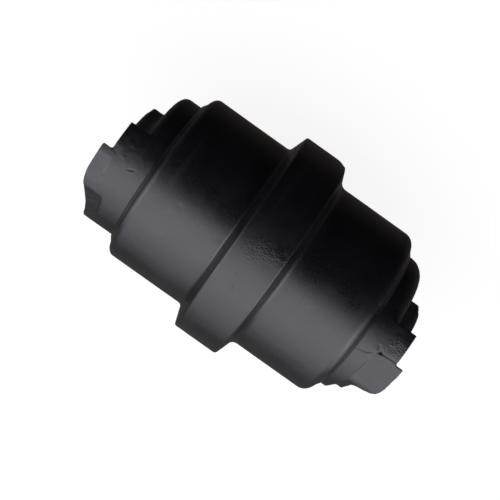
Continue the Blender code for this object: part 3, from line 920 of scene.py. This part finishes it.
def add_piece(piece, body, node, material):
    """Put a finished piece on its body in place of the CAD node it stands for."""
    piece.data.materials.clear()
    piece.data.materials.append(material)
    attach(piece, body)
    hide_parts(node)


def build_pieces():
    shell_paint = satin_paint("shell_satin_black", 0.016, 0.30, SHELL_PATCHES, SHELL_STAINS)
    # The collars' last argument is the radius inside which painted light lifts their shaded hubs
    collar_paint = satin_paint("collar_satin_black", 0.026, 0.33, COLLAR_PATCHES, (), PAINTED_LIGHT_CORE_R)
    steel = machined("small_part_steel", (0.30, 0.29, 0.28), (0.46, 0.45, 0.43), 0.32)
    bronze = machined("bush_bronze", (0.44, 0.27, 0.11), (0.62, 0.41, 0.19), 0.30)
    iron = machined("seal_iron", (0.20, 0.20, 0.21), (0.34, 0.34, 0.35), 0.24)
    nitrile = rubber("seal_rubber")
    add_piece(build_shell(), "roller", "roller_shell", shell_paint)
    add_piece(build_shaft(), "fixed", "shaft", shaft_finish())
    for side, sign in SIDES:
        add_piece(build_collar(side, sign), "fixed", f"collar_{side}", collar_paint)
        add_piece(build_bush(side, sign), "roller", f"bush_{side}", bronze)
        add_piece(build_pin(side, sign), "fixed", f"collar_pin_{side}", steel)
        o_ring = build_rubber_ring(f"o_ring_{side}", sign * O_RING_STATION, SHAFT_R - O_RING_SECTION_R,
                                   O_RING_SECTION_R)
        add_piece(o_ring, "fixed", f"shaft_o_ring_{side}", nitrile)
        for kind, outward, body in (("turning", -1.0, "roller"), ("fixed", 1.0, "fixed")):
            ring = build_seal_ring(kind, side, sign, outward)
            add_piece(ring, body, f"seal_ring_{kind}_{side}", iron)
            x = sign * (SEAL_PLANE + outward * TORIC_FROM_SEAL_PLANE)
            toric = build_rubber_ring(f"seal_toric_{kind}_{side}", x, TORIC_R, TORIC_SECTION_R)
            add_piece(toric, body, f"toric_{kind}_{side}", nitrile)
    plug, washer = build_plug()
    add_piece(plug, "fixed", "oil_plug", steel)
    add_piece(washer, "fixed", "oil_plug_washer", steel)


# ---------------------------------------------------------------- stage, light and camera

CAMERA_ANGLE = -25.75           # degrees about the roller's axis, from +Z towards -Y
CAMERA_DISTANCE = 690.5
CAMERA_STATION = -22.0          # where the camera stands along the axis
CAMERA_DROP = 6.6               # how far it stands below the axis in the picture
CAMERA_ROLL = 35.43             # degrees that the axis falls from left to right in the picture
CAMERA_PAN = -1.25              # degrees, as is the tilt
CAMERA_TILT = 0.87
CAMERA_LENS = 77.74
SENSOR_WIDTH = 36.0


def add_floor():
    """Pale floor under the flange, seen by the camera but not mirrored in the paint."""
    bm = bmesh.new()
    bmesh.ops.create_grid(bm, x_segments=1, y_segments=1, size=6.0)
    bm.transform(Matrix.Translation((0.0, 0.0, -(FLANGE_R + 0.2) * MM)))
    floor = link_mesh("floor", bm)
    material = bpy.data.materials.new("floor_pale")
    material.use_nodes = True
    tree = material.node_tree
    place = add_node(tree, 'ShaderNodeTexCoord').outputs['Object']
    shade = colour_mix(tree, lumps(tree, place, 3.0, 2.0), (0.83, 0.83, 0.83), (0.87, 0.87, 0.87))
    diffuse = add_node(tree, 'ShaderNodeBsdfDiffuse', {'Color': shade})
    glow = add_node(tree, 'ShaderNodeEmission', {'Color': (1.0, 1.0, 1.0, 1.0), 'Strength': 1.0})
    mix = add_node(tree, 'ShaderNodeMixShader', {0: 0.90, 1: diffuse.outputs[0], 2: glow.outputs[0]})
    tree.links.new(mix.outputs[0], tree.nodes["Material Output"].inputs['Surface'])
    floor.data.materials.append(material)
    floor.visible_glossy = False
    floor.visible_diffuse = False
    floor.visible_shadow = False


# The soft box seen from the roller's axis: where each strip starts and ends in degrees, and how bright it is
SOFT_BOX = (
    (-25.0, -16.0, 0.5),
    (-16.0, -7.0, 1.7),
    (-7.0, 4.0, 2.9),
    (4.0, 38.0, 3.15),
    (38.0, 54.0, 2.35),
    (54.0, 70.0, 1.45),
    (70.0, 86.0, 0.45),
)
SOFT_BOX_R = 0.9                # metres, as is its length
SOFT_BOX_LENGTH = 4.4
SOFT_BOX_COLOUR = (0.93, 0.915, 1.0)
# The dim room: degrees about the axis, and its colour there
ROOM = (
    (-180.0, (0.070, 0.060, 0.056)),
    (-150.0, (0.060, 0.052, 0.050)),
    (-115.0, (0.018, 0.017, 0.020)),
    (-50.0, (0.012, 0.012, 0.018)),
    (-20.0, (0.030, 0.029, 0.036)),
    (84.0, (0.18, 0.175, 0.18)),
    (104.0, (0.17, 0.163, 0.165)),
    (135.0, (0.105, 0.098, 0.094)),
    (180.0, (0.070, 0.060, 0.056)),
)
# The same past the two ends of the roller, as a plain brightness
ROOM_ENDS = ((-180.0, 0.03), (-130.0, 0.02), (-60.0, 0.02), (-25.0, 0.2), (0.0, 1.5), (100.0, 1.5),
             (130.0, 0.8), (148.0, 0.10), (165.0, 0.03), (180.0, 0.03))


def add_soft_box():
    """Strips of light round the upper side of the roller, brightest overhead and fading down its side."""
    for index, (start, end, radiance) in enumerate(SOFT_BOX):
        width = 2.0 * SOFT_BOX_R * math.tan(math.radians(end - start) / 2.0)
        data = bpy.data.lights.new(f"soft_box_{index}", 'AREA')
        data.shape = 'RECTANGLE'
        data.size = SOFT_BOX_LENGTH
        data.size_y = width
        data.energy = radiance * math.pi * width * SOFT_BOX_LENGTH
        data.color = SOFT_BOX_COLOUR
        lamp = bpy.data.objects.new(f"soft_box_{index}", data)
        bpy.context.scene.collection.objects.link(lamp)
        outward = on_axis(0.0, 1.0, (start + end) / 2.0) / MM
        lamp.matrix_world = (Matrix.Translation(outward * SOFT_BOX_R)
                             @ Matrix((AXIS, outward.cross(AXIS), outward)).transposed().to_4x4())
        lamp.visible_camera = False


def tone_ramp(tree, place, tones):
    """A colour that changes round the axis; each tone is its degrees and its colour."""
    ramp = add_node(tree, 'ShaderNodeValToRGB', {0: place})
    stops = ramp.color_ramp.elements
    for index, (degrees, colour) in enumerate(tones):
        position = degrees / 360.0 + 0.5
        stop = stops[index] if index < 2 else stops.new(position)
        stop.position = position
        stop.color = (*colour, 1.0)
    return ramp.outputs[0]


def add_room():
    """White to the camera; to the paint, a dim room that differs all round the roller and past its ends."""
    world = bpy.data.worlds.new("room")
    bpy.context.scene.world = world
    world.use_nodes = True
    tree = world.node_tree
    way = add_node(tree, 'ShaderNodeTexCoord').outputs['Generated']
    split = add_node(tree, 'ShaderNodeSeparateXYZ', {0: way}).outputs
    turn = maths(tree, 'ARCTAN2', maths(tree, 'MULTIPLY', split[1], -1.0), split[2])
    around = maths(tree, 'ADD', maths(tree, 'DIVIDE', turn, math.tau), 0.5)
    round_roller = tone_ramp(tree, around, ROOM)
    past_ends = tone_ramp(tree, around, [(degrees, (level, level, level)) for degrees, level in ROOM_ENDS])
    ends = remap(tree, maths(tree, 'ABSOLUTE', split[0]), 0.66, 0.90, 0.0, 1.0)
    dim = add_node(tree, 'ShaderNodeBackground', {'Color': round_roller, 'Strength': 1.0})
    far_ends = add_node(tree, 'ShaderNodeBackground', {'Color': past_ends, 'Strength': ends})
    both = add_node(tree, 'ShaderNodeAddShader', {0: dim.outputs[0], 1: far_ends.outputs[0]})
    pale = add_node(tree, 'ShaderNodeBackground', {'Color': (1.0, 1.0, 1.0, 1.0), 'Strength': 1.0})
    seen = add_node(tree, 'ShaderNodeLightPath').outputs['Is Camera Ray']
    mix = add_node(tree, 'ShaderNodeMixShader', {0: seen, 1: both.outputs[0], 2: pale.outputs[0]})
    tree.links.new(mix.outputs[0], tree.nodes["World Output"].inputs['Surface'])


def add_camera():
    """Above and to the far side, rolled so that the axis falls from left to right."""
    toward = on_axis(0.0, 1.0, CAMERA_ANGLE) / MM
    across = on_axis(0.0, 1.0, CAMERA_ANGLE - 90.0) / MM
    roll = math.radians(CAMERA_ROLL)
    right = AXIS * math.cos(roll) + across * math.sin(roll)
    up = across * math.cos(roll) - AXIS * math.sin(roll)
    back = toward + right * math.tan(math.radians(CAMERA_PAN)) + up * math.tan(math.radians(CAMERA_TILT))
    back.normalize()
    right = (right - back * right.dot(back)).normalized()
    up = back.cross(right)
    data = bpy.data.cameras.new("camera")
    data.lens = CAMERA_LENS
    data.sensor_width = SENSOR_WIDTH
    camera = bpy.data.objects.new("camera", data)
    bpy.context.scene.collection.objects.link(camera)
    at = (AXIS * CAMERA_STATION - across * CAMERA_DROP + toward * CAMERA_DISTANCE) * MM
    camera.matrix_world = Matrix.Translation(at) @ Matrix((right, up, back)).transposed().to_4x4()
    bpy.context.scene.camera = camera


build_pieces()
add_floor()
add_soft_box()
add_room()
add_camera()
bpy.context.scene.view_settings.view_transform = 'Standard'
